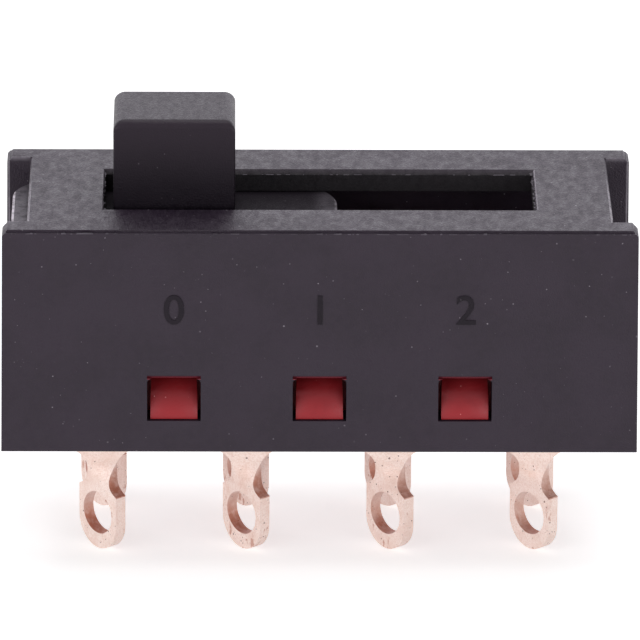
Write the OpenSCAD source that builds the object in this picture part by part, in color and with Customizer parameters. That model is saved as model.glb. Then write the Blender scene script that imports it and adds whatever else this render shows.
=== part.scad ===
// Three-position slide switch with two rows of twisted solder lugs.
// Millimetres. X runs along the body, Y away from the front face, Z up from the lug tips.
// The slider is drawn at its left stop.

/* [Body] */
// Length of the long side walls at the bottom
body_l = 35; // [31:0.5:40]
// Width across the long side walls at the bottom
body_w = 14; // [12.5:0.1:16]
// Height of the moulded body
body_h = 12.85; // [11:0.1:15]
// Thickness of the long side walls
wall_t = 1.7; // [1.4:0.05:1.9]
// Thickness of the deck round the slot
deck_t = 1.2; // [0.9:0.05:1.5]
// How far the end walls stand back from the ends of the side walls
end_recess = 1.45; // [1.1:0.05:1.8]
// Thickness of the end walls
end_wall_t = 1; // [0.8:0.05:1.2]
// Mould draft, taken off each side at the top
draft = 0.12; // [0.05:0.01:0.2]
// Width of the small step round the top outer edge
step_w = 0.2; // [0.1:0.05:0.3]
// Depth of the small step round the top outer edge
step_h = 0.15; // [0.1:0.05:0.3]
// Chamfer on the long sides of the slot and on the inner ends of the side walls
edge_c = 0.25; // [0.1:0.05:0.4]
// Width of the chamfer on the short ends of the slot
slot_end_c = 0.12; // [0.05:0.01:0.3]
// Chamfer on the deck's end edges
deck_end_c = 0.1; // [0.05:0.01:0.2]
// Chamfer on the top corners of the side walls' ends
corner_c = 0.3; // [0.1:0.05:0.4]
// Chamfer on the top edge of the snap windows
window_c = 0.22; // [0.05:0.01:0.3]
// Lead-in chamfer at the open bottom
lead_c = 0.3; // [0.1:0.05:0.5]

/* [Windows and tabs] */
// Width of each snap window
window_w = 2.95; // [2.4:0.05:3.4]
// Height of each snap window
window_h = 2.45; // [2:0.05:2.8]
// Height of the window sill above the body's bottom edge
window_sill = 1.8; // [1.5:0.05:2]
// Gap on each side of a tab in its window
tab_side_gap = 0.18; // [0.1:0.01:0.3]
// Gap between a tab's thin top edge and the window's top
tab_top_gap = 0.1; // [0.05:0.05:0.3]
// How far the tab face stays behind the wall face
tab_set_back = 0.2; // [0.1:0.05:0.4]
// How far up a tab its face bends back, as a share of the tab's height
tab_bend = 0.5; // [0.3:0.05:0.7]
// How much narrower a tab is at its top, on each side
tab_taper = 0.06; // [0.02:0.01:0.2]
// Play under a tab on its sill
tab_play = 0.05; // [0.02:0.01:0.1]

/* [Slider] */
// Length of the knob along the travel
knob_l = 6.7; // [5.5:0.1:7.8]
// Width of the knob across the travel
knob_w = 5.1; // [4:0.1:6]
// Height of the knob above the deck
knob_h = 5; // [3:0.1:7]
// Rounding of the knob's end edges
knob_end_r = 0.65; // [0.3:0.05:0.8]
// Rounding of the knob's front and rear top edges
knob_edge_r = 0.4; // [0.2:0.05:0.6]
// Rounding of the knob's upright edges
knob_side_r = 0.35; // [0.2:0.05:0.6]
// Gap from the knob to each end of the slot at the stops
slot_end_gap = 0.5; // [0.3:0.05:0.8]
// Gap from the knob to each side of the slot
slot_side_gap = 0.575; // [0.4:0.025:1]
// Thickness of the plate under the deck
plate_t = 1; // [0.8:0.05:1.2]
// Gap from the plate's end to the end of the side walls at the stops
plate_end_gap = 0.5; // [0.3:0.05:0.8]
// Corner radius at the left end of the plate
plate_left_r = 2.9; // [1.5:0.1:4]
// Corner radius at the right end of the plate
plate_right_r = 4.2; // [1.5:0.1:4.5]
// Wall of the carrier beyond each end of the moving contacts
carrier_wall = 0.6; // [0.4:0.05:0.8]
// Plate and carrier left above the spring pockets
pocket_roof = 1.1; // [0.8:0.05:1.6]

/* [Terminals] */
// Distance from the outer terminals' middle to the end walls
column_margin = 3.05; // [2.7:0.05:3.6]
// Share of the inner half width at which each row of terminals stands
row_share = 0.613; // [0.59:0.001:0.64]
// Width of the terminal strip
strip_w = 3.2; // [2.8:0.05:3.5]
// Thickness of the terminal strip
strip_t = 0.7; // [0.5:0.05:0.9]
// How far the lugs stand below the body
lug_l = 7.1; // [6:0.1:9]
// Radius of the lug eye
eye_r = 1.22; // [0.9:0.02:1.35]
// How far the eye's middle stands above the middle of the round end
eye_up = 0.5; // [0.2:0.05:0.7]
// Straight strip between the eye and the twist
eye_web = 0.41; // [0.2:0.01:0.6]
// Radius of the waist notches
notch_r = 1.3; // [1.1:0.05:1.45]
// Narrowest width of the waist
waist_w = 1.5; // [1.1:0.1:1.7]
// Twist of the lug against the row, in degrees
twist = 50; // [30:1:60]
// Inside radius where the strip is bent over
bend_r = 0.2; // [0.1:0.05:0.3]

/* [Contacts] */
// Gap on each side of a moving contact in the lane between strip and barrier
lane_gap = 0.3; // [0.2:0.05:0.4]
// Height of a contact rivet's head
head_h = 0.6; // [0.45:0.05:0.8]
// How far the upset rivet tail stands out round its shank
tail_lip = 0.15; // [0.1:0.05:0.25]
// Height of the upset rivet tail
tail_h = 0.35; // [0.25:0.05:0.45]
// Strip left round a contact rivet at the pad's inner end
pad_lip = 0.1; // [0.05:0.05:0.2]
// Thickness of a moving contact
bridge_t = 0.4; // [0.3:0.05:0.5]
// How far the feet of a moving contact dip
bridge_dip = 0.9; // [0.7:0.05:1.1]
// Length of a moving contact beyond each foot
bridge_tail = 1.6; // [1.3:0.05:1.8]
// Length of the slope between a foot and the flat middle
bridge_slope = 2; // [1.6:0.1:2.2]
// Free height above the moving contacts in the slider
lift_room = 0.3; // [0.2:0.05:0.5]

/* [Springs and detent] */
// How far a contact spring stays inside the moving contact's edges
spring_inset = 0.1; // [0.05:0.01:0.2]
// Radius of the contact springs' wire
wire_r = 0.13; // [0.1:0.01:0.18]
// Turns of a contact spring
spring_turns = 6; // [5:1:7]
// Radius of the detent ball
ball_r = 0.75; // [0.6:0.01:0.85]
// How much smaller the detent spring is than its ball
detent_inset = 0.07; // [0.05:0.01:0.12]
// Mean diameter of the detent spring over its wire diameter
detent_index = 5.8; // [5:0.1:7]
// Turns of the detent spring
detent_turns = 9; // [7:1:10]
// Radius of a detent notch
detent_r = 1; // [0.9:0.05:1.3]
// Depth of a detent notch
detent_depth = 0.3; // [0.2:0.05:0.4]
// Height of the barrier's ridge above the contact rivets
ridge_h = 0.5; // [0.4:0.05:0.7]

/* [Base] */
// Thickness of the base floor
floor_t = 1.8; // [1.5:0.05:2.1]
// How far the base sits inside the body's bottom edge
base_set_in = 0.2; // [0.1:0.05:0.4]
// Thickness of the upright rims that carry the tabs
rim_t = 0.95; // [0.8:0.05:1.1]
// Height of the rims above the windows
rim_over = 0.25; // [0.1:0.05:0.6]
// Thickness of the low end rims
end_rim_t = 0.8; // [0.6:0.05:0.9]
// Share of the inner half width that the barrier between the two rows takes
barrier_share = 0.3; // [0.28:0.005:0.32]
// Thickness of the ribs between neighbouring terminals
rib_t = 0.8; // [0.6:0.05:1.2]
// Height of the ribs above the terminal pads
rib_h = 0.2; // [0.1:0.05:0.4]
// Width of the slits beside each tab
slit_w = 0.4; // [0.3:0.05:0.6]
// Distance of the slits from each tab
slit_gap = 0.3; // [0.2:0.05:0.5]

/* [Fits] */
// Gap round the base in the body
base_fit = 0.05; // [0.03:0.01:0.12]
// Gap round a terminal in its base slot
slot_fit = 0.04; // [0.02:0.01:0.1]
// Gap round a bend or rivet tail in its relief in the base
relief_fit = 0.1; // [0.05:0.01:0.15]
// Gap round a rivet shank in its pad
shank_fit = 0.01; // [0.005:0.005:0.03]
// Gap between the plate and the deck, and between the plate and the end walls
plate_fit = 0.06; // [0.04:0.01:0.15]
// Gap on each side of the plate
plate_side_fit = 0.12; // [0.08:0.01:0.25]
// Gap round a moving contact in the slider
bridge_fit = 0.12; // [0.08:0.01:0.2]
// Gap between moving and fixed contacts
contact_fit = 0.03; // [0.02:0.01:0.06]
// Gap round a spring or ball in its pocket
pocket_fit = 0.06; // [0.04:0.01:0.1]
// Gap between the slider's carrier and the parts it passes
carrier_fit = 0.2; // [0.15:0.01:0.3]

/* [Hidden] */
$fn = 64;
// Overrun of cuts past a face
over = 1;
// Overlap of pieces that are joined
join = 0.1;

in_y = body_w / 2 - wall_t;
end_x = body_l / 2 - end_recess;
in_x = end_x - end_wall_t;
base_x = in_x - base_fit;
base_y = in_y - base_fit;
rim_y = base_y - rim_t;

// Neighbouring terminals share out the length between the end walls; the slider moves by the same step
pitch = (in_x - column_margin) * 2 / 3;
row_y = row_share * in_y;
barrier_t = barrier_share * in_y;
lane = row_y - strip_t / 2 - barrier_t / 2;
contact_y = barrier_t / 2 + lane / 2;
bridge_w = lane - 2 * lane_gap;
head_r = bridge_w / 2;
shank_r = head_r / 2;
tail_r = shank_r + tail_lip;
pad_y = contact_y - head_r - pad_lip;
spring_r = bridge_w / 2 - spring_inset;
detent_spring_r = ball_r - detent_inset;
detent_wire_r = detent_spring_r / (detent_index + 1);

z_bot = lug_l;
z_top = z_bot + body_h;
z_deck = z_top - deck_t;
z_plate_top = z_deck - plate_fit;
z_plate_bot = z_plate_top - plate_t;
z_end_top = z_plate_bot - plate_fit;
z_base = z_bot + base_set_in;
z_floor = z_base + floor_t;
z_pad = z_floor + strip_t;
z_dome = z_pad + head_h;
z_foot = z_dome + contact_fit;
z_flat = z_foot + bridge_t + bridge_dip;
z_ridge = z_dome + ridge_h;
z_carrier = z_ridge + carrier_fit;
z_ball = z_ridge + contact_fit + ball_r;
z_cavity = z_flat + lift_room;
z_pocket = z_plate_bot - pocket_roof;
z_sill = z_bot + window_sill;
z_rim = z_sill + window_h + rim_over;

tab_w = window_w - 2 * tab_side_gap;
stop_x = -pitch;
slot_l = knob_l + 2 * pitch + 2 * slot_end_gap;
slot_w = knob_w + 2 * slot_side_gap;
plate_x = body_l / 2 - plate_end_gap - pitch;
plate_y = in_y - plate_side_fit;
bridge_x = pitch / 2 + bridge_tail;
cavity_x = bridge_x + bridge_fit;
cavity_w = bridge_w + 2 * bridge_fit;
carrier_x = cavity_x + carrier_wall;
carrier_y = rim_y - carrier_fit;

neck_h = 0.7 * notch_r;
neck_n = 18;
neck_t = strip_t - 0.02;
eye_z = strip_w / 2 + eye_up;
waist_z = eye_z + eye_r + eye_web + neck_h;
notch_x = waist_w / 2 + notch_r;

function column_x(i) = (i - 2.5) * pitch;

// A block whose side faces lean: half sizes at z0 and at z1
module leaning_block(x0, x1, y0, y1, z0, z1) {
  intersection() {
    rotate([90, 0, 0])
      linear_extrude(height = 4 * max(y0, y1), center = true)
        polygon([[-x0, z0], [x0, z0], [x1, z1], [-x1, z1]]);
    rotate([90, 0, 90])
      linear_extrude(height = 4 * max(x0, x1), center = true)
        polygon([[-y0, z0], [y0, z0], [y1, z1], [-y1, z1]]);
  }
}

// A plain block given by half sizes and two heights
module box(x, y, z0, z1) {
  translate([-x, -y, z0]) cube([2 * x, 2 * y, z1 - z0]);
}

module top_step() {
  difference() {
    box(body_l, body_w, z_top - step_h, z_top + over);
    box(body_l / 2 - draft - step_w, body_w / 2 - draft - step_w, z_top - step_h - over, z_top + 2 * over);
  }
}

// The open channel at the right end, with chamfered mouth, deck edge and wall corners
module end_channel() {
  far_x = body_l / 2 + over;
  top_x = body_l / 2 - draft;
  translate([0, 0, z_bot - over])
    linear_extrude(height = body_h + 2 * over)
      polygon([
        [end_x, -in_y], [body_l / 2 - edge_c, -in_y], [far_x, -in_y - edge_c - over],
        [far_x, in_y + edge_c + over], [body_l / 2 - edge_c, in_y], [end_x, in_y]
      ]);
  rotate([90, 0, 0])
    linear_extrude(height = 2 * in_y, center = true)
      polygon([[end_x - deck_end_c, z_top], [end_x - deck_end_c, z_top + over], [end_x + over, z_top + over],
        [end_x + over, z_top - deck_end_c - over]]);
  rotate([90, 0, 0])
    linear_extrude(height = 2 * body_w, center = true)
      polygon([[top_x - corner_c, z_top], [top_x - corner_c, z_top + over], [top_x + over, z_top + over],
        [top_x + over, z_top - corner_c - over]]);
}

// The chamfer on the top edge of a front window, where the wall leans back
module window_edge() {
  z_edge = z_sill + window_h;
  face = body_w / 2 - draft * (z_edge - z_bot) / body_h;
  rotate([90, 0, 90])
    linear_extrude(height = window_w, center = true)
      polygon([[-face + window_c, z_edge - over], [-face + window_c, z_edge], [-face - over, z_edge + window_c + over],
        [-face - over, z_edge - over]]);
}

module housing() {
  color("#3d383f")
  difference() {
    leaning_block(body_l / 2, body_l / 2 - draft, body_w / 2, body_w / 2 - draft, z_bot, z_top);
    top_step();
    end_channel();
    mirror([1, 0, 0]) end_channel();
    box(in_x, in_y, z_bot - over, z_deck);
    box(end_x + join, in_y, z_end_top, z_deck);
    leaning_block(in_x + lead_c + over, in_x, in_y + lead_c + over, in_y, z_bot - over, z_bot + lead_c);
    box(slot_l / 2, slot_w / 2, z_deck - over, z_top + over);
    leaning_block(slot_l / 2, slot_l / 2 + slot_end_c * (edge_c + over) / edge_c,
      slot_w / 2, slot_w / 2 + edge_c + over, z_top - edge_c, z_top + over);
    for (i = [-1, 0, 1])
      translate([i * pitch, 0, 0]) {
        box(window_w / 2, body_w, z_sill, z_sill + window_h);
        window_edge();
        mirror([0, 1, 0]) window_edge();
      }
  }
}

// One wedge tab on the front rim, thick at the sill, with a face that curves back to a thin top
module snap_tab() {
  low = z_sill + tab_play;
  high = z_sill + window_h - tab_top_gap;
  face = body_w / 2 - tab_set_back;
  root = base_y - rim_t / 3;
  half = tab_w / 2;
  mid = low + tab_bend * (high - low);
  intersection() {
    rotate([90, 0, 90])
      linear_extrude(height = tab_w, center = true)
        polygon(concat(
          [[-root, high], [-root, low]],
          [for (k = [0 : 12]) let (t = k / 12)
            [-face * (1 - t * t) - base_y * t * t, low * (1 - t) * (1 - t) + 2 * mid * t * (1 - t) + high * t * t]]
        ));
    rotate([90, 0, 0])
      linear_extrude(height = body_w)
        polygon([[-half, low - over], [half, low - over], [half, mid],
          [half - tab_taper, high], [half - tab_taper, high + over],
          [-half + tab_taper, high + over], [-half + tab_taper, high], [-half, mid]]);
  }
}

// What one terminal and its rivet need cut from the base, at a front-row place
module terminal_seat() {
  w = strip_w / 2 + slot_fit;
  t = strip_t / 2 + slot_fit;
  translate([0, -row_y, 0]) box(w, t, z_base - over, z_floor + over);
  translate([-w, -row_y, z_floor - bend_r - relief_fit])
    cube([2 * w, strip_t / 2 + bend_r + relief_fit, bend_r + relief_fit + over]);
  translate([0, -contact_y, z_floor - tail_h - relief_fit])
    cylinder(r = tail_r + relief_fit, h = tail_h + relief_fit + over);
}

module terminal_base() {
  color("#b0252b")
  difference() {
    union() {
      box(base_x, base_y, z_base, z_floor);
      for (s = [-1, 1])
        translate([0, s * (base_y - rim_t / 2), 0]) box(base_x, rim_t / 2, z_base, z_rim);
      for (s = [-1, 1])
        translate([s * (base_x - end_rim_t / 2), 0, 0]) box(end_rim_t / 2, base_y, z_base, z_pad);
      box(base_x, barrier_t / 2, z_base, z_ridge);
      for (i = [-1, 0, 1])
        translate([i * pitch, 0, 0]) {
          box(rib_t / 2, base_y - rim_t / 2, z_base, z_pad + rib_h);
          snap_tab();
          mirror([0, 1, 0]) snap_tab();
        }
    }
    for (i = [1, 2, 3, 4])
      translate([column_x(i), 0, 0]) {
        terminal_seat();
        mirror([0, 1, 0]) terminal_seat();
      }
    for (i = [-1, 0, 1], s = [-1, 1])
      translate([i * pitch + s * (tab_w / 2 + slit_gap + slit_w / 2), 0, 0])
        difference() {
          box(slit_w / 2, base_y + over, z_pad, z_rim + over);
          box(slit_w, rim_y, z_pad - over, z_rim + 2 * over);
        }
    for (i = [-1, 0, 1])
      translate([i * pitch, 0, z_ridge + detent_r - detent_depth])
        rotate([90, 0, 0]) cylinder(r = detent_r, h = barrier_t + over, center = true);
  }
}

// Front view of a block with two rounded top corners
module round_top(w, z0, z1, r) {
  translate([-w / 2, z0]) square([w, z1 - z0 - r]);
  translate([-w / 2 + r, z0]) square([w - 2 * r, z1 - z0]);
  for (s = [-1, 1])
    translate([s * (w / 2 - r), z1 - r]) circle(r = r);
}

// Plan of a block with four rounded corners
module round_plan(l, w, r) {
  square([l - 2 * r, w], center = true);
  square([l, w - 2 * r], center = true);
  for (sx = [-1, 1], sy = [-1, 1])
    translate([sx * (l / 2 - r), sy * (w / 2 - r)]) circle(r = r);
}

module knob() {
  z_knob = z_top + knob_h;
  intersection() {
    rotate([90, 0, 0])
      linear_extrude(height = knob_w + over, center = true)
        round_top(knob_l, z_plate_top - plate_t / 2, z_knob, knob_end_r);
    rotate([90, 0, 90])
      linear_extrude(height = knob_l + over, center = true)
        round_top(knob_w, z_plate_top - plate_t / 2, z_knob, knob_edge_r);
    translate([0, 0, z_plate_bot])
      linear_extrude(height = z_knob - z_plate_bot + over)
        round_plan(knob_l, knob_w, knob_side_r);
  }
}

module plate_shape() {
  translate([-plate_x + plate_left_r, -plate_y])
    square([2 * plate_x - plate_left_r - plate_right_r, 2 * plate_y]);
  translate([-plate_x, -plate_y + plate_left_r])
    square([plate_left_r + join, 2 * (plate_y - plate_left_r)]);
  translate([plate_x - plate_right_r - join, -plate_y + plate_right_r])
    square([plate_right_r + join, 2 * (plate_y - plate_right_r)]);
  for (s = [-1, 1]) {
    translate([-plate_x + plate_left_r, s * (plate_y - plate_left_r)]) circle(r = plate_left_r);
    translate([plate_x - plate_right_r, s * (plate_y - plate_right_r)]) circle(r = plate_right_r);
  }
}

module slider() {
  color("#2e2a30")
  translate([stop_x, 0, 0])
  difference() {
    union() {
      knob();
      translate([0, 0, z_plate_bot]) linear_extrude(height = plate_t) plate_shape();
      box(carrier_x, carrier_y, z_carrier, z_plate_bot + plate_t / 2);
    }
    for (s = [-1, 1])
      translate([0, s * contact_y, 0]) {
        box(cavity_x, cavity_w / 2, z_carrier - over, z_cavity);
        translate([0, 0, z_cavity - join])
          cylinder(r = spring_r + pocket_fit, h = z_pocket - z_cavity + join);
      }
    translate([0, 0, z_carrier - over]) cylinder(r = ball_r + pocket_fit, h = z_pocket - z_carrier + over);
  }
}

function waist_half(z) = notch_x - sqrt(notch_r * notch_r - (z - waist_z) * (z - waist_z));
function neck_level(k) = waist_z - neck_h + 2 * neck_h * k / neck_n;
function neck_ease(u) = u * u * (3 - 2 * u);
function neck_ring(z, w, a) = [
  for (c = [[-1, -1], [1, -1], [1, 1], [-1, 1]])
    let (x = c[0] * w, y = c[1] * neck_t / 2)
    [x * cos(a) - y * sin(a), x * sin(a) + y * cos(a), z]
];

// The twisted waist of a lug, run a little way into the straight pieces above and below
module neck() {
  inner = waist_half(waist_z - neck_h);
  rings = [
    neck_ring(neck_level(0) - join, inner, -twist),
    for (k = [0 : neck_n])
      neck_ring(neck_level(k), waist_half(neck_level(k)), -twist * (1 - neck_ease(k / neck_n))),
    neck_ring(neck_level(neck_n) + join, inner, 0)
  ];
  last = len(rings) - 1;
  polyhedron(
    points = [for (r = rings) for (p = r) p],
    faces = [
      [0, 1, 2, 3],
      [4 * last + 3, 4 * last + 2, 4 * last + 1, 4 * last],
      for (k = [0 : last - 1]) for (j = [0 : 3])
        let (a = 4 * k + j, b = 4 * k + (j + 1) % 4)
        each [[a, a + 4, b], [b, a + 4, b + 4]]
    ]
  );
}

module waist_notches() {
  for (s = [-1, 1])
    translate([s * notch_x, 0, waist_z])
      rotate([90, 0, 0]) cylinder(r = notch_r, h = strip_t + 2 * over, center = true);
}

// Side view of the strip where it comes up through the base and bends over its floor
module bend_shape() {
  outer = bend_r + strip_t;
  z_mid = z_pad - outer;
  y_mid = outer - strip_t / 2;
  z_low = waist_z + neck_h;
  translate([-strip_t / 2, z_low]) square([strip_t, z_mid - z_low]);
  translate([y_mid, z_floor]) square([row_y - pad_y - y_mid, strip_t]);
  intersection() {
    difference() {
      translate([y_mid, z_mid]) circle(r = outer);
      translate([y_mid, z_mid]) circle(r = bend_r);
    }
    translate([y_mid - outer, z_mid]) square(outer);
  }
}

// One terminal with its strip upright on the Z axis and its pad towards +Y
module lug() {
  difference() {
    rotate([90, 0, 90]) linear_extrude(height = strip_w, center = true) bend_shape();
    waist_notches();
    translate([0, row_y - contact_y, z_floor - over])
      cylinder(r = shank_r + shank_fit, h = strip_t + 2 * over);
  }
  neck();
  rotate([0, 0, -twist])
    difference() {
      union() {
        box(strip_w / 2, strip_t / 2, strip_w / 2, waist_z - neck_h);
        translate([0, 0, strip_w / 2]) rotate([90, 0, 0]) cylinder(r = strip_w / 2, h = strip_t, center = true);
      }
      waist_notches();
      translate([0, 0, eye_z]) rotate([90, 0, 0]) cylinder(r = eye_r, h = strip_t + 2 * over, center = true);
    }
}

module terminal_front(i) {
  color("#c9a08a") translate([column_x(i), -row_y, 0]) lug();
}

module terminal_rear(i) {
  color("#c9a08a") translate([column_x(i), row_y, 0]) rotate([0, 0, 180]) lug();
}

module rivet() {
  cap = 0.6 * head_h;
  dome_r = (head_r * head_r + cap * cap) / (2 * cap);
  intersection() {
    translate([0, 0, z_pad]) cylinder(r = head_r, h = head_h + over);
    translate([0, 0, z_dome - dome_r]) sphere(r = dome_r);
  }
  translate([0, 0, z_floor - tail_h]) cylinder(r = shank_r, h = tail_h + strip_t + join);
  translate([0, 0, z_floor - tail_h]) cylinder(r = tail_r, h = tail_h);
}

module fixed_contact_front(i) {
  color("#d8d6d0") translate([column_x(i), -contact_y, 0]) rivet();
}

module fixed_contact_rear(i) {
  color("#d8d6d0") translate([column_x(i), contact_y, 0]) rivet();
}

// Height of a moving contact's underside above its feet, at a distance from its middle
function bridge_rise(x) =
  let (d = abs(x) - pitch / 2)
  d < -bridge_slope ? bridge_dip : bridge_dip * (1 - cos(180 * d / bridge_slope)) / 2;

module bridge() {
  xs = [for (k = [-24 : 24]) k * bridge_x / 24];
  rotate([90, 0, 0])
    linear_extrude(height = bridge_w, center = true)
      polygon(concat(
        [for (x = xs) [x, z_foot + bridge_rise(x)]],
        [for (x = xs) [-x, z_foot + bridge_rise(x) + bridge_t]]
      ));
}

module moving_contact_front() {
  color("#c48a5e") translate([stop_x, -contact_y, 0]) bridge();
}

module moving_contact_rear() {
  color("#c48a5e") translate([stop_x, contact_y, 0]) bridge();
}

// Height along a spring of so many turns with one closed turn at each end
function coil_z(t, n, h, wire) =
  let (dead = 2.15 * wire, live = (h - 2 * wire - 2 * dead) / (n - 2))
  t < 1 ? wire + dead * t : t > n - 1 ? h - wire - dead * (n - t) : wire + dead + live * (t - 1);

module coil(outer, wire, z0, z1, turns) {
  seg = 14;
  ring = 6;
  mean = outer - wire;
  steps = seg * turns;
  points = [
    for (s = [0 : steps]) for (k = [0 : ring - 1])
      let (a = 360 * s / seg, b = 360 * k / ring, r = mean + wire * cos(b))
      [r * cos(a), r * sin(a), z0 + coil_z(s / seg, turns, z1 - z0, wire) + wire * sin(b)]
  ];
  polyhedron(
    points = points,
    faces = [
      [for (k = [0 : ring - 1]) k],
      [for (k = [ring - 1 : -1 : 0]) steps * ring + k],
      for (s = [0 : steps - 1]) for (k = [0 : ring - 1])
        let (a = s * ring + k, b = s * ring + (k + 1) % ring)
        each [[a, a + ring, b], [b, a + ring, b + ring]]
    ]
  );
}

module contact_spring() {
  coil(spring_r, wire_r, z_flat, z_pocket, spring_turns);
}

module contact_spring_front() {
  color("#b9bbbd") translate([stop_x, -contact_y, 0]) contact_spring();
}

module contact_spring_rear() {
  color("#b9bbbd") translate([stop_x, contact_y, 0]) contact_spring();
}

module detent_ball() {
  color("#d0d2d4") translate([stop_x, 0, z_ball]) sphere(r = ball_r);
}

// The spring's first turn lies on the shoulder of the ball
module detent_spring() {
  mean = detent_spring_r - detent_wire_r;
  reach = ball_r + detent_wire_r + shank_fit;
  seat = z_ball + sqrt(reach * reach - mean * mean) - detent_wire_r;
  color("#b9bbbd") translate([stop_x, 0, 0]) coil(detent_spring_r, detent_wire_r, seat, z_pocket, detent_turns);
}

housing();
terminal_base();
slider();
for (i = [1, 2, 3, 4]) {
  terminal_front(i);
  terminal_rear(i);
  fixed_contact_front(i);
  fixed_contact_rear(i);
}
moving_contact_front();
moving_contact_rear();
contact_spring_front();
contact_spring_rear();
detent_ball();
detent_spring();
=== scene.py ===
import math
import random

import bmesh
import bpy
from mathutils import Matrix, Vector


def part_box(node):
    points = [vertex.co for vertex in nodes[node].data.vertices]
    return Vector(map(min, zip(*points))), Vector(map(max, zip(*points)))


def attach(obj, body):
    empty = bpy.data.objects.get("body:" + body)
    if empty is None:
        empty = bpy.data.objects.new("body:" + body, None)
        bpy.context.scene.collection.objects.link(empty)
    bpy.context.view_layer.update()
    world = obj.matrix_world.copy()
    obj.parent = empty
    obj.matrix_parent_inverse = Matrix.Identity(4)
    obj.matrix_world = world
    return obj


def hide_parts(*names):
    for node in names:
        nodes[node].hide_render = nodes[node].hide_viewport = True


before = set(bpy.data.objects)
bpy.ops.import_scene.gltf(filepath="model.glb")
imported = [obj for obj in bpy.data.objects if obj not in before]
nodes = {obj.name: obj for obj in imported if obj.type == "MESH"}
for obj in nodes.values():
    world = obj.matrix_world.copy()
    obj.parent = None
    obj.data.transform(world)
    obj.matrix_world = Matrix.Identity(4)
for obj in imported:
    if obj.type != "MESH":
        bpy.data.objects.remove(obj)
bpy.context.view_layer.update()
scene = bpy.context.scene
MM = 0.001

# Sizes of the stamped lugs, as in the solid model
PITCH = 8.0 * MM
ROW_Y = 3.2489 * MM
EYE_R = 1.22 * MM
EYE_Z = 2.1 * MM
NOTCH_R = 1.3 * MM
NOTCH_X = 2.05 * MM
NECK_H = 0.91 * MM
WAIST_Z = 4.64 * MM
TWIST = 50.0
# Sizes of the housing and its slot
HALF_L = 17.5 * MM
HALF_D = 7.0 * MM
Z_BOT = 7.1 * MM
BODY_H = 12.85 * MM
Z_TOP = Z_BOT + BODY_H
DRAFT = 0.12 * MM
WINDOW_W = 2.95 * MM
WINDOW_H = 2.45 * MM
WINDOW_C = 0.22 * MM
WINDOW_TOP = Z_BOT + 1.8 * MM + WINDOW_H
SLOT_X = 11.85 * MM
SLOT_Y = 3.125 * MM
EDGE_C = 0.25 * MM
STEP_H = 0.15 * MM
SLOT_END_C = 0.12 * MM
DECK_END = 16.05 * MM
DECK_END_C = 0.1 * MM
WALL_IN = 5.3 * MM
# Sizes of the slider's plate and knob
PLATE_TOP = 18.69 * MM
PLATE_HALF = 9.0 * MM
KNOB_L = 6.7 * MM
KNOB_W = 5.4 * MM
KNOB_TOP = 24.84 * MM
KNOB_END_R = 0.62 * MM
KNOB_EDGE_R = 0.42 * MM
KNOB_SIDE_R = 0.12 * MM
# How near two points of a node's mesh are one point
WELD = 0.0005 * MM


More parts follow.
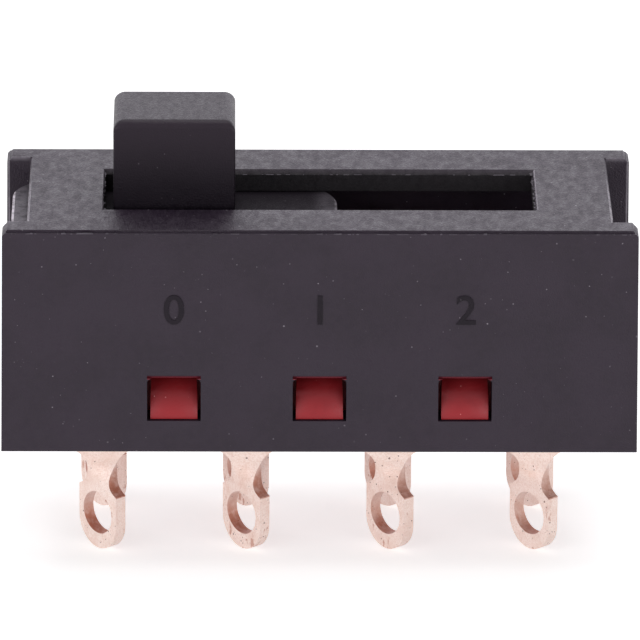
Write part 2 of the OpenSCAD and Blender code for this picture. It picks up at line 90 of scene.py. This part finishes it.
class Shader:
    """A node material with short helpers for wiring."""

    def __init__(self, name):
        self.mat = bpy.data.materials.new(name)
        self.mat.use_nodes = True
        self.tree = self.mat.node_tree
        self.bsdf = self.tree.nodes["Principled BSDF"]
        self.coord = self.add("ShaderNodeTexCoord").outputs["Object"]

    def add(self, kind, **settings):
        n = self.tree.nodes.new(kind)
        for key, value in settings.items():
            setattr(n, key, value)
        return n

    def link(self, value, socket):
        if isinstance(value, bpy.types.NodeSocket):
            self.tree.links.new(value, socket)
        else:
            socket.default_value = value

    def math(self, op, a, b=0.0, clamp=False):
        n = self.add("ShaderNodeMath", operation=op, use_clamp=clamp)
        self.link(a, n.inputs[0])
        self.link(b, n.inputs[1])
        return n.outputs[0]

    def times(self, value, *others):
        for other in others:
            value = self.math("MULTIPLY", value, other)
        return value

    def most(self, value, *others):
        for other in others:
            value = self.math("MAXIMUM", value, other)
        return value

    def absolute(self, value):
        return self.math("ABSOLUTE", value)

    def above(self, value, limit):
        return self.math("GREATER_THAN", value, limit)

    def below(self, value, limit):
        return self.math("LESS_THAN", value, limit)

    def within(self, value, low, high):
        return self.times(self.above(value, low), self.below(value, high))

    def xyz(self, vector):
        n = self.add("ShaderNodeSeparateXYZ")
        self.link(vector, n.inputs[0])
        return n.outputs

    def noise(self, size_mm, detail=3.0, rough=0.55, stretch=None):
        vector = self.coord
        if stretch:
            m = self.add("ShaderNodeMapping")
            m.inputs["Scale"].default_value = stretch
            self.link(vector, m.inputs["Vector"])
            vector = m.outputs[0]
        n = self.add("ShaderNodeTexNoise")
        self.link(vector, n.inputs["Vector"])
        n.inputs["Scale"].default_value = 1.0 / (size_mm * MM)
        n.inputs["Detail"].default_value = detail
        n.inputs["Roughness"].default_value = rough
        return n.outputs["Fac"]

    def ramp(self, value, low, high, to_low=0.0, to_high=1.0, kind="SMOOTHSTEP"):
        n = self.add("ShaderNodeMapRange", interpolation_type=kind)
        self.link(value, n.inputs["Value"])
        n.inputs["From Min"].default_value = low
        n.inputs["From Max"].default_value = high
        n.inputs["To Min"].default_value = to_low
        n.inputs["To Max"].default_value = to_high
        return n.outputs[0]

    def mix(self, fac, a, b):
        n = self.add("ShaderNodeMix", data_type="RGBA")
        self.link(fac, n.inputs["Factor"])
        self.link(a, n.inputs["A"])
        self.link(b, n.inputs["B"])
        return n.outputs["Result"]

    def bump(self, height, depth_mm, strength, under=None):
        n = self.add("ShaderNodeBump")
        n.inputs["Strength"].default_value = strength
        n.inputs["Distance"].default_value = depth_mm * MM
        self.link(height, n.inputs["Height"])
        if under:
            self.link(under, n.inputs["Normal"])
        return n.outputs[0]

    def specks(self, size_mm, share, radius, fade):
        """Small round flecks in a share of the cells, the more of them faint the higher fade is."""
        cell = self.add("ShaderNodeTexVoronoi")
        self.link(self.coord, cell.inputs["Vector"])
        cell.inputs["Scale"].default_value = 1.0 / (size_mm * MM)
        dice = self.add("ShaderNodeTexWhiteNoise")
        self.link(cell.outputs["Color"], dice.inputs["Vector"])
        parts = self.add("ShaderNodeSeparateColor")
        self.link(dice.outputs["Color"], parts.inputs[0])
        pick, reach, strength = parts.outputs
        near = self.below(cell.outputs["Distance"], self.times(reach, radius))
        return self.times(self.below(pick, share), near, self.math("POWER", strength, fade))

    def finish(self, colour, rough, normal=None, **values):
        for socket, value in (("Base Color", colour), ("Roughness", rough), ("Normal", normal)):
            if value is not None:
                self.link(value, self.bsdf.inputs[socket])
        for key, value in values.items():
            self.bsdf.inputs[key.replace("_", " ")].default_value = value
        return self.mat


def srgb(r, g, b):
    def lin(c):
        c /= 255.0
        return c / 12.92 if c <= 0.04045 else ((c + 0.055) / 1.055) ** 2.4
    return (lin(r), lin(g), lin(b), 1.0)


def shade(colour, factor):
    """A colour made darker."""
    return [c * factor for c in colour[:3]] + [1.0]


WINDOW_PAINTED_REFLECTION = srgb(116, 30, 42)
SLOT_PAINTED_SHADE = srgb(14, 12, 15)
EDGE_WEAR_AND_HIGHLIGHT = srgb(150, 143, 153)
PLATE_END_PAINTED_LIGHT = srgb(84, 79, 86)
PLATE_RIM_PAINTED_HIGHLIGHT = srgb(214, 205, 215)
KNOB_TOP_PAINTED_LIGHT = srgb(41, 34, 42)
TAB_PAINTED_SHADE = srgb(90, 15, 19)
PLASTIC_SHEEN = (1.0, 0.93, 1.0, 1.0)


def housing_marks(s, colour, rough):
    """A painted red reflection over the windows, a slot painted darker as shade and made duller, and edges
    that are rubbed and painted lighter as highlight.
    """
    x, y, z = s.xyz(s.coord)
    x_far, y_far = s.absolute(x), s.absolute(y)

    # The chamfer over each window is painted with a red reflection of the tab below it
    cell = s.math("FLOORED_MODULO", s.math("ADD", x, PITCH / 2), PITCH)
    aside = s.absolute(s.math("SUBTRACT", cell, PITCH / 2))
    painted_red_reflection = s.times(s.below(aside, WINDOW_W / 2), s.below(x_far, PITCH * 1.5),
                   s.above(z, WINDOW_TOP - 0.03 * MM),
                   s.ramp(z, WINDOW_TOP, WINDOW_TOP + WINDOW_C, 0.85, 0.0))
    colour = s.mix(painted_red_reflection, colour, WINDOW_PAINTED_REFLECTION)

    # Inside the slot the colour is painted darker as shade, more so further down, and the unpolished mould
    # surface is duller
    painted_shade = s.times(s.below(y_far, SLOT_Y + EDGE_C), s.below(x_far, SLOT_X + 0.05 * MM),
                   s.below(z, Z_TOP - 0.01 * MM),
                   s.ramp(z, Z_TOP - EDGE_C * 1.1, Z_TOP - EDGE_C * 0.1, 1.0, 0.4))
    colour = s.mix(painted_shade, colour, SLOT_PAINTED_SHADE)
    rough = s.math("ADD", rough, s.times(painted_shade, 0.3))

    # Handling has rubbed the ends of the deck and of the slot, and the ends and tops of the long walls, and
    # these strips are also painted lighter as highlight, more at the slot's right end, the front of the
    # deck's ends and the outer end of each wall's inner face
    upper = s.above(z, Z_TOP - 0.13 * MM)
    deck = s.times(s.within(x_far, DECK_END - 0.12 * MM, DECK_END + 0.02 * MM), upper,
                   s.below(y_far, WALL_IN), s.ramp(y, -1.0 * MM, 2.5 * MM, 0.68, 0.1))
    slot = s.times(s.within(x_far, SLOT_X + 0.03 * MM, SLOT_X + 0.16 * MM), upper,
                   s.below(y_far, SLOT_Y + 0.1 * MM), s.ramp(x, -1.0 * MM, 1.0 * MM, 0.2, 0.62))
    inner = s.within(y_far, WALL_IN - 0.08 * MM, WALL_IN + 0.08 * MM)
    post = s.times(inner, s.ramp(x_far, HALF_L - 0.3 * MM, HALF_L - 0.2 * MM, 0.0, 0.5))
    crest = s.times(inner, s.ramp(z, Z_TOP - 0.3 * MM, Z_TOP - 0.03 * MM, 0.0, 0.35),
                    s.above(x_far, DECK_END + 0.03 * MM))
    wear_and_highlight = s.times(s.most(deck, slot, post, crest), s.ramp(s.noise(0.35), 0.3, 0.6, 0.55, 1.0))
    return s.mix(wear_and_highlight, colour, EDGE_WEAR_AND_HIGHLIGHT), rough


def slider_marks(s, colour, rough):
    """Plate ends painted lighter as light where they slide out in the open, with a painted highlight on
    their rims, a dull plate, and a knob painted lighter towards its top as light.
    """
    x, _, z = s.xyz(s.coord)
    along = s.math("ADD", x, PITCH)
    off_middle = s.absolute(along)
    plate = s.below(z, Z_TOP - 0.5 * MM)
    # The plate's ends are painted lighter as light, the left end more than the right
    plate_end_light = s.times(s.ramp(off_middle, 7.5 * MM, 8.4 * MM), plate,
                   s.ramp(along, -1.0 * MM, 1.0 * MM, 1.0, 0.4),
                   s.ramp(s.noise(0.5), 0.3, 0.6, 0.55, 1.0))
    colour = s.mix(plate_end_light, colour, PLATE_END_PAINTED_LIGHT)
    # A painted highlight along the rims of the plate's ends
    tip = s.above(off_middle, PLATE_HALF - 0.13 * MM)
    colour = s.mix(s.times(plate_end_light, plate_end_light, tip), colour, PLATE_RIM_PAINTED_HIGHLIGHT)
    # The knob is painted lighter towards its top as light
    colour = s.mix(s.ramp(z, Z_TOP + 0.6 * MM, KNOB_TOP - 0.2 * MM, 0.0, 0.8), colour, KNOB_TOP_PAINTED_LIGHT)
    dull = s.math("SUBTRACT", plate, plate_end_light, clamp=True)
    return colour, s.math("ADD", rough, s.times(dull, 0.35))


def base_marks(s, colour, rough):
    """Tabs painted darker as shade towards the top of each window, where they lie deeper."""
    z = s.xyz(s.coord)[2]
    painted_shade = s.ramp(z, WINDOW_TOP - WINDOW_H * 0.85, WINDOW_TOP, kind="LINEAR")
    return s.mix(painted_shade, colour, TAB_PAINTED_SHADE), rough


def moulded(name, dark, light, dust, dust_share, grain_mm, rough, level, marks=None):
    """Moulded plastic with cloudy tone, fine grain and dust, and then the marks of its own part."""
    s = Shader(name)
    cloud = s.noise(3.0, 4.0)
    blotch = s.noise(0.4)
    fine = s.noise(0.1, 2.0, 0.6)
    gloss = s.noise(0.45, stretch=(1.0, 0.55, 1.0))
    swell = s.noise(1.3, 2.0)
    colour = s.mix(s.ramp(cloud, 0.35, 0.65), dark, light)
    colour = s.mix(s.ramp(blotch, 0.4, 0.65, 0.0, 0.5), colour, light)
    colour = s.mix(s.ramp(fine, 0.45, 0.75, 0.0, 0.5), colour, light)
    flecks = s.most(s.specks(0.6, dust_share, radius=0.1, fade=1.2),
                    s.specks(0.26, dust_share, radius=0.17, fade=1.6))
    colour = s.mix(flecks, colour, dust)
    dull = s.math("ADD", s.ramp(gloss, 0.3, 0.7, *rough), s.ramp(fine, 0.3, 0.7, -0.08, 0.08))
    if marks:
        colour, dull = marks(s, colour, dull)
    normal = s.bump(fine, grain_mm, 0.6)
    normal = s.bump(swell, grain_mm * 0.25, 0.3, normal)
    return s.finish(colour, dull, normal, Specular_IOR_Level=level, Specular_Tint=PLASTIC_SHEEN)


def lug_marks(s, colour, raw):
    """Punched walls of the eye and the notches are raw. The strip's faces and edges keep their plating."""
    x, y, z = s.xyz(s.coord)
    turn = s.ramp(z, WAIST_Z - NECK_H, WAIST_Z + NECK_H, math.radians(TWIST), 0.0)
    sine, cosine = s.math("SINE", turn), s.math("COSINE", turn)
    u = s.math("SUBTRACT", s.math("FLOORED_MODULO", x, PITCH), PITCH / 2)
    v = s.math("SUBTRACT", y, s.times(s.math("SIGN", y), ROW_Y))
    across = s.absolute(s.math("SUBTRACT", s.times(u, cosine), s.times(v, sine)))
    facing = s.xyz(s.add("ShaderNodeNewGeometry").outputs["Normal"])
    front = s.absolute(s.math("ADD", s.times(facing[0], sine), s.times(facing[1], cosine)))
    wall = s.ramp(front, 0.4, 0.8, 1.0, 0.0)

    def punched(du, mid_z, radius):
        dz = s.math("SUBTRACT", z, mid_z)
        far = s.math("SQRT", s.math("ADD", s.times(du, du), s.times(dz, dz)))
        return s.times(s.below(far, radius + 0.06 * MM),
                       s.ramp(dz, -radius * 0.75, radius * 0.8, 1.0, 0.3))

    # Some lugs keep more of their plating than others, and a few spots low on the ring are rubbed
    patch = s.times(wall, s.ramp(s.noise(0.3), 0.35, 0.75, 1.0, 0.55),
                    s.ramp(s.noise(9.0, 0.0), 0.4, 0.6, 1.0, 0.78))
    streak = s.noise(0.5, 3.0, 0.6, stretch=(1.0, 1.0, 0.55))
    rub = s.times(s.ramp(streak, 0.62, 0.68, 0.0, 0.7),
                  s.ramp(z, EYE_Z - EYE_R * 0.3, EYE_Z + EYE_R, 1.0, 0.15))
    colour = s.mix(rub, colour, shade(raw, 0.8))
    eye = punched(across, EYE_Z, EYE_R)
    notch = punched(s.math("SUBTRACT", across, NOTCH_X), WAIST_Z, NOTCH_R)
    colour = s.mix(s.times(eye, patch), colour, raw)
    return s.mix(s.times(notch, patch), colour, shade(raw, 0.78))


def plated(name, plate, tarnish, pit, metal=0.9, raw=None):
    """Plated metal with tarnish, fine scratches and pits. A raw colour is that of a lug's punched walls."""
    s = Shader(name)
    cloud = s.noise(1.1, 4.0, 0.6)
    scratch = s.noise(0.2, 2.0, 0.6, stretch=(1.0, 1.0, 0.35))
    mottle = s.noise(0.085, 2.0, 0.7)
    gloss = s.noise(0.5)
    brushed = s.noise(0.12, 2.0, 0.6, stretch=(1.0, 1.0, 0.3))
    swell = s.noise(0.8, 2.0)
    colour = s.mix(s.times(s.ramp(cloud, 0.4, 0.72), 0.55), plate, tarnish)
    colour = s.mix(s.ramp(scratch, 0.56, 0.7, 0.0, 0.4), colour, tarnish)
    colour = s.mix(s.ramp(mottle, 0.42, 0.66, 0.0, 0.6), colour, tarnish)
    flecks = s.most(s.specks(0.32, 0.5, radius=0.2, fade=0.7), s.specks(0.17, 0.3, radius=0.26, fade=0.7))
    colour = s.mix(flecks, colour, pit)
    if raw:
        colour = lug_marks(s, colour, raw)
    normal = s.bump(brushed, 0.006, 0.5)
    normal = s.bump(swell, 0.02, 0.5, normal)
    return s.finish(colour, s.ramp(gloss, 0.3, 0.7, 0.36, 0.52), normal, Metallic=metal)


housing_mat = moulded("housing_black", srgb(23, 14, 26), srgb(31, 22, 34), srgb(118, 112, 120),
                      dust_share=0.26, grain_mm=0.05, rough=(0.41, 0.56), level=0.37, marks=housing_marks)
slider_mat = moulded("slider_black", srgb(14, 9, 16), srgb(19, 14, 21), srgb(100, 94, 100),
                     dust_share=0.26, grain_mm=0.04, rough=(0.36, 0.44), level=0.16, marks=slider_marks)
base_mat = moulded("base_red", srgb(128, 14, 21), srgb(142, 22, 28), srgb(225, 150, 150),
                   dust_share=0.16, grain_mm=0.012, rough=(0.36, 0.48), level=0.4, marks=base_marks)
numeral_mat = moulded("numeral_black", srgb(14, 9, 16), srgb(20, 14, 22), srgb(110, 104, 110),
                      dust_share=0.2, grain_mm=0.04, rough=(0.45, 0.52), level=0.2)
flash_mat = moulded("flash_black", srgb(24, 18, 26), srgb(84, 79, 87), srgb(170, 166, 172),
                    dust_share=0.2, grain_mm=0.03, rough=(0.6, 0.75), level=0.3)
terminal_mat = plated("terminal_copper", srgb(251, 231, 223), srgb(232, 199, 185), srgb(104, 64, 52),
                      metal=0.2, raw=srgb(208, 138, 113))
bridge_mat = plated("bridge_copper", srgb(214, 150, 104), srgb(176, 112, 74), srgb(96, 58, 42))
silver_mat = plated("contact_silver", srgb(228, 226, 220), srgb(190, 186, 178), srgb(110, 106, 100))
spring_mat = plated("spring_steel", srgb(196, 198, 202), srgb(160, 162, 166), srgb(92, 90, 90))
ball_mat = plated("ball_steel", srgb(214, 216, 220), srgb(190, 192, 196), srgb(120, 120, 122))

# How a node's name starts, its material, and the rounding of its edges in millimetres
FINISH = (("housing", housing_mat, 0.07), ("slider", slider_mat, 0.06), ("terminal_base", base_mat, 0.06),
          ("terminal_", terminal_mat, 0.05), ("fixed_contact", silver_mat, 0.03),
          ("moving_contact", bridge_mat, 0.03), ("contact_spring", spring_mat, 0.0),
          ("detent_spring", spring_mat, 0.0), ("detent_ball", ball_mat, 0.0))


def smooth_under(degrees):
    """A modifier's node group that shades faces smooth across every edge flatter than the angle."""
    group = bpy.data.node_groups.new("smooth_under_%d" % degrees, "GeometryNodeTree")
    group.interface.new_socket("Geometry", in_out="INPUT", socket_type="NodeSocketGeometry")
    group.interface.new_socket("Geometry", in_out="OUTPUT", socket_type="NodeSocketGeometry")
    start = group.nodes.new("NodeGroupInput")
    end = group.nodes.new("NodeGroupOutput")
    angle = group.nodes.new("GeometryNodeInputMeshEdgeAngle")
    soft = group.nodes.new("FunctionNodeCompare")
    soft.operation = "LESS_THAN"
    soft.inputs[1].default_value = math.radians(degrees)
    faces = group.nodes.new("GeometryNodeSetShadeSmooth")
    faces.domain = "FACE"
    edges = group.nodes.new("GeometryNodeSetShadeSmooth")
    edges.domain = "EDGE"
    group.links.new(angle.outputs["Unsigned Angle"], soft.inputs[0])
    group.links.new(start.outputs[0], faces.inputs["Geometry"])
    group.links.new(faces.outputs[0], edges.inputs["Geometry"])
    group.links.new(soft.outputs[0], edges.inputs["Shade Smooth"])
    group.links.new(edges.outputs[0], end.inputs[0])
    return group


lug_smooth = smooth_under(24)
moulded_smooth = smooth_under(35)
BEVEL_OVER = math.radians(32.0)


def dress(obj, name):
    """The finish, fine edge rounding and shading of a node, or of the piece that stands for it."""
    mat, edge = next((m, e) for start, m, e in FINISH if name.startswith(start))
    obj.data.materials.clear()
    obj.data.materials.append(mat)
    if edge:
        weld = obj.modifiers.new("weld", "WELD")
        weld.merge_threshold = WELD
        bevel = obj.modifiers.new("edge", "BEVEL")
        bevel.width = edge * MM
        bevel.segments = 2
        bevel.limit_method = "ANGLE"
        bevel.angle_limit = BEVEL_OVER
        bevel.use_clamp_overlap = True
        bevel.harden_normals = False
    if name in ("housing", "slider", "terminal_base"):
        obj.modifiers.new("smooth", "NODES").node_group = moulded_smooth
        normals = obj.modifiers.new("normals", "WEIGHTED_NORMAL")
        normals.keep_sharp = True
    elif name.startswith("terminal_"):
        obj.modifiers.new("smooth", "NODES").node_group = lug_smooth


for name, obj in nodes.items():
    dress(obj, name)


def from_bmesh(name, bm, mat=None):
    """A new object in the scene from a finished bmesh."""
    mesh = bpy.data.meshes.new(name)
    bm.to_mesh(mesh)
    bm.free()
    if mat:
        mesh.materials.append(mat)
    obj = bpy.data.objects.new(name, mesh)
    scene.collection.objects.link(obj)
    return obj


def on_housing(obj):
    """The object becomes a piece of the housing."""
    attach(obj, "body")


KNOB_STEPS = 10
KNOB_FOOT = PLATE_TOP - 0.3 * MM


def fall(depth, radius):
    """How far a rounded edge falls back at a depth behind the face that it starts from."""
    gap = max(0.0, radius - depth)
    return radius - math.sqrt(radius * radius - gap * gap)


def add_knob(bm):
    """A block knob whose front and rear edges run smoothly round its two top corners."""
    turns = [math.pi / 2 * k / KNOB_STEPS for k in range(KNOB_STEPS + 1)]
    depths = [KNOB_EDGE_R * (1.0 - math.cos(t)) for t in turns]
    places = [(d - KNOB_W / 2, d) for d in depths] + [(KNOB_W / 2 - d, d) for d in reversed(depths)]
    mid_x = KNOB_L / 2 - KNOB_END_R
    mid_z = KNOB_TOP - KNOB_END_R
    loops = []
    for y, depth in places:
        wide = KNOB_END_R - fall(depth, KNOB_SIDE_R)
        tall = KNOB_END_R - fall(depth, KNOB_EDGE_R)
        half = [(mid_x + wide * math.cos(t), mid_z + tall * math.sin(t)) for t in turns]
        half.insert(0, (mid_x + wide, KNOB_FOOT))
        outline = half + [(-x, z) for x, z in reversed(half)]
        loops.append([bm.verts.new((x - PITCH, y, z)) for x, z in outline])
    for p, q in zip(loops, loops[1:]):
        for j in range(len(p)):
            n = (j + 1) % len(p)
            bm.faces.new((p[j], p[n], q[n], q[j]))
    bm.faces.new(loops[0][::-1])
    bm.faces.new(loops[-1])


# The slider's plate and carrier as in the solid model, cut off a hair under the plate's top, and a new knob
CUT_Z = PLATE_TOP - 0.002 * MM
bm = bmesh.new()
bm.from_mesh(nodes["slider"].data)
bmesh.ops.remove_doubles(bm, verts=bm.verts, dist=WELD)
cut = bmesh.ops.bisect_plane(bm, geom=bm.verts[:] + bm.edges[:] + bm.faces[:], dist=1e-8,
                             plane_co=(0.0, 0.0, CUT_Z), plane_no=(0.0, 0.0, 1.0), clear_outer=True)
rim = [e for e in cut["geom_cut"] if isinstance(e, bmesh.types.BMEdge)]
bmesh.ops.contextual_create(bm, geom=rim)
add_knob(bm)
bmesh.ops.recalc_face_normals(bm, faces=bm.faces)
moulding = from_bmesh("slider_moulding", bm)
dress(moulding, "slider")
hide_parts("slider")
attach(moulding, "slider")

# Raised position numbers on the front face, which leans with the mould's draft
NUMERAL_SIZE = 2.4 * MM
NUMERAL_RISE = 0.07 * MM
NUMERAL_EDGE = 0.02 * MM
NUMERAL_SINK = 0.03 * MM
NUMERAL_Z = 8.2 * MM
housing_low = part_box("housing")[0]
lean = math.atan2(DRAFT, BODY_H)
numeral_y = housing_low.y + DRAFT * NUMERAL_Z / BODY_H + NUMERAL_SINK
for k, mark in enumerate(("0", "1", "2")):
    curve = bpy.data.curves.new("numeral_" + mark, "FONT")
    curve.body = mark
    curve.size = NUMERAL_SIZE
    curve.align_x = "CENTER"
    curve.align_y = "CENTER"
    curve.extrude = NUMERAL_RISE
    curve.bevel_depth = NUMERAL_EDGE
    curve.bevel_resolution = 1
    temp = bpy.data.objects.new("numeral_curve_" + mark, curve)
    scene.collection.objects.link(temp)
    dg = bpy.context.evaluated_depsgraph_get()
    mesh = bpy.data.meshes.new_from_object(temp.evaluated_get(dg))
    bpy.data.objects.remove(temp)
    place = Matrix.Translation(((k - 1) * PITCH, numeral_y, housing_low.z + NUMERAL_Z))
    mesh.transform(place @ Matrix.Rotation(math.radians(90.0) - lean, 4, "X"))
    mesh.materials.clear()
    mesh.materials.append(numeral_mat)
    numeral = bpy.data.objects.new("numeral_" + mark, mesh)
    scene.collection.objects.link(numeral)
    on_housing(numeral)

# Distance between points of a flash line, the chance that its level changes there, the level under
# which it is sunk, the least share of its height and the spread of its unevenness
FLASH_SPACING = 0.07 * MM
FLASH_CHANGE = 0.4
FLASH_FAINT = 0.04
FLASH_LEAST = 0.02
FLASH_UNEVEN = (0.6, 1.0)


def flash(name, a, b, out, wide, high, share, seed):
    """A ragged line of moulding flash from a to b, sunk out of sight in the gaps between its scraps."""
    rng = random.Random(seed)
    a, b, out = Vector(a), Vector(b), Vector(out).normalized()
    n = max(8, int((b - a).length / FLASH_SPACING))
    side = (b - a).normalized().cross(out)
    bm = bmesh.new()
    level, rings = 0.0, []
    for k in range(n + 1):
        if rng.random() < FLASH_CHANGE:
            level = rng.random() ** 2 if rng.random() < share else 0.0
        tall = high * (FLASH_LEAST + (1.0 - FLASH_LEAST) * level) * rng.uniform(*FLASH_UNEVEN)
        mid = a.lerp(b, k / n)
        if level < FLASH_FAINT:
            mid -= out * (wide + high * 0.1)
        rings.append([bm.verts.new(mid + side * wide / 2 - out * wide / 2), bm.verts.new(mid + out * tall),
                      bm.verts.new(mid - side * wide / 2 - out * wide / 2)])
    for p, q in zip(rings, rings[1:]):
        for j in range(3):
            bm.faces.new((p[j], p[(j + 1) % 3], q[(j + 1) % 3], q[j]))
    bm.faces.new(rings[0][::-1])
    bm.faces.new(rings[-1])
    bmesh.ops.recalc_face_normals(bm, faces=bm.faces)
    on_housing(from_bmesh(name, bm, flash_mat))


step_x = HALF_L - 0.3 * MM
step_y = housing_low.y + DRAFT * (BODY_H - STEP_H) / BODY_H
step_z = Z_TOP - STEP_H
slot_z = Z_TOP - EDGE_C
for tag, sign, step_high, step_seed, slot_seed in (("front", 1.0, 0.11 * MM, 11, 21),
                                                   ("rear", -1.0, 0.06 * MM, 12, 22)):
    y = sign * step_y
    flash("flash_step_" + tag, (-step_x, y, step_z), (step_x, y, step_z), out=(0.0, -sign * 0.5, 0.8),
          wide=0.05 * MM, high=step_high, share=0.5, seed=step_seed)
    y = -sign * SLOT_Y
    flash("flash_slot_" + tag, (-SLOT_X, y, slot_z), (SLOT_X, y, slot_z), out=(0.0, sign, 0.0),
          wide=0.05 * MM, high=0.07 * MM, share=0.4, seed=slot_seed)
for tag, sign, slot_seed, lip_seed, deck_seed in (("left", -1.0, 32, 42, 52), ("right", 1.0, 31, 41, 51)):
    x, z = sign * SLOT_X, Z_TOP - SLOT_END_C
    flash("flash_slot_" + tag, (x, -SLOT_Y, z), (x, SLOT_Y, z), out=(-sign, 0.0, 0.0),
          wide=0.06 * MM, high=0.14 * MM, share=0.7, seed=slot_seed)
    x, z = sign * (SLOT_X + SLOT_END_C * 0.6), Z_TOP - SLOT_END_C * 0.4
    flash("flash_slot_lip_" + tag, (x, -SLOT_Y, z), (x, SLOT_Y, z), out=(-sign, 0.0, 1.0),
          wide=0.09 * MM, high=0.03 * MM, share=0.95, seed=lip_seed)
    x, z = sign * (DECK_END - DECK_END_C * 0.5), Z_TOP - DECK_END_C * 0.5
    flash("flash_deck_" + tag, (x, -WALL_IN, z), (x, WALL_IN, z), out=(sign, 0.0, 1.0),
          wide=0.06 * MM, high=0.03 * MM, share=0.85, seed=deck_seed)

FILLET_R = 0.24 * MM
FILLET_DEEP = 0.5 * MM
FILLET_INTO = 0.02 * MM
FILLET_STEPS = 6


def window_corners(name, sign):
    """Small fillets that round the two upper corners of each window on one long side."""
    bm = bmesh.new()
    turns = [math.pi / 2 * j / FILLET_STEPS for j in range(FILLET_STEPS + 1)]
    mid_z = WINDOW_TOP - FILLET_R
    for k in (-1, 0, 1):
        for side in (-1.0, 1.0):
            mid_x = k * PITCH + side * (WINDOW_W / 2 - FILLET_R)
            corner = (k * PITCH + side * (WINDOW_W / 2 + FILLET_INTO), WINDOW_TOP + FILLET_INTO)
            arc = [(mid_x + side * FILLET_R * math.cos(t), mid_z + FILLET_R * math.sin(t)) for t in turns]
            rows = []
            for y in (-HALF_D + DRAFT * 0.5, -HALF_D + FILLET_DEEP):
                rows.append([bm.verts.new((x, sign * y, z)) for x, z in [corner] + arc])
            front, rear = rows
            for j in range(len(front)):
                n = (j + 1) % len(front)
                bm.faces.new((front[j], front[n], rear[n], rear[j]))
            for row in rows:
                for j in range(1, len(row) - 1):
                    bm.faces.new((row[0], row[j], row[j + 1]))
    bmesh.ops.recalc_face_normals(bm, faces=bm.faces)
    on_housing(from_bmesh(name, bm, housing_mat))


window_corners("window_corners_front", 1.0)
window_corners("window_corners_rear", -1.0)

WHITE = (1.0, 1.0, 1.0)
BODY_MIDDLE = (0.0, 0.0, 12.0 * MM)
LUGS_MIDDLE = (0.0, 0.0, 6.0 * MM)


def area(name, place, size, power, target=BODY_MIDDLE, colour=WHITE):
    """A rectangular soft light that faces a point on the object. Places and sizes are in metres."""
    light = bpy.data.lights.new(name, "AREA")
    light.shape = "RECTANGLE"
    light.size, light.size_y = size
    light.energy = power
    light.color = colour
    obj = bpy.data.objects.new(name, light)
    obj.location = place
    scene.collection.objects.link(obj)
    obj.rotation_euler = (Vector(target) - obj.location).to_track_quat("-Z", "Y").to_euler()


area("top_box", (0.02, 0.06, 0.5), (0.45, 0.45), power=1.5)
area("back_panel", (0.05, 0.6, 0.2), (0.9, 0.4), power=0.98, colour=(0.9, 0.86, 1.0))
area("left_fill", (-0.42, -0.38, 0.12), (0.4, 0.25), power=1.5, target=LUGS_MIDDLE)
area("right_fill", (0.34, -0.44, 0.1), (0.35, 0.2), power=1.0, target=LUGS_MIDDLE)


def by_ray(tree, unseen, seen):
    """A strength for the rays that show the backdrop, and another for the rays that only carry its light."""
    path = tree.nodes.new("ShaderNodeLightPath")
    value = path.outputs["Is Camera Ray"]
    for ray in ("Is Glossy Ray", "Is Transmission Ray"):
        either = tree.nodes.new("ShaderNodeMath")
        either.operation = "MAXIMUM"
        tree.links.new(value, either.inputs[0])
        tree.links.new(path.outputs[ray], either.inputs[1])
        value = either.outputs[0]
    level = tree.nodes.new("ShaderNodeMapRange")
    tree.links.new(value, level.inputs["Value"])
    level.inputs["To Min"].default_value = unseen
    level.inputs["To Max"].default_value = seen
    return level.outputs[0]


world = bpy.data.worlds.new("studio")
scene.world = world
world.use_nodes = True
backdrop = world.node_tree.nodes["Background"]
world.node_tree.links.new(by_ray(world.node_tree, unseen=0.25, seen=1.0), backdrop.inputs["Strength"])
backdrop.inputs["Color"].default_value = (*WHITE, 1.0)

FLOOR_GREY = (0.68, 0.68, 0.68, 1.0)
FLOOR_HALF = 0.6
floor_shader = Shader("studio_floor")
floor_glow = by_ray(floor_shader.tree, unseen=0.2, seen=0.6)
floor_shader.link(floor_glow, floor_shader.bsdf.inputs["Emission Strength"])
floor_mat = floor_shader.finish(FLOOR_GREY, 0.9, Emission_Color=(*WHITE, 1.0))
bm = bmesh.new()
bmesh.ops.create_grid(bm, x_segments=8, y_segments=8, size=FLOOR_HALF)
floor = from_bmesh("studio_floor", bm, floor_mat)

scene.view_settings.view_transform = "Standard"

# The camera stands where the photograph was taken from, fitted to the edges of the object
IMAGE_PX = 640.0
FOCAL_PX = 8603.0
SENSOR_MM = 36.0
CAMERA_AWAY = 0.471
elevation = math.radians(20.41)
yaw = math.radians(0.7)
roll = Matrix.Rotation(math.radians(0.356), 3, "Z")
aim = Vector((0.0, -HALF_D, 14.85 * MM))
level_way = math.cos(elevation)
look = Vector((math.sin(yaw) * level_way, math.cos(yaw) * level_way, -math.sin(elevation)))
cam_data = bpy.data.cameras.new("camera")
cam_data.sensor_width = SENSOR_MM
cam_data.lens = FOCAL_PX / IMAGE_PX * SENSOR_MM
cam_data.clip_start = 0.01
cam_data.clip_end = 10.0
camera = bpy.data.objects.new("camera", cam_data)
scene.collection.objects.link(camera)
camera.location = aim - look * CAMERA_AWAY
camera.rotation_euler = (look.to_track_quat("-Z", "Y").to_matrix() @ roll).to_euler()
scene.camera = camera
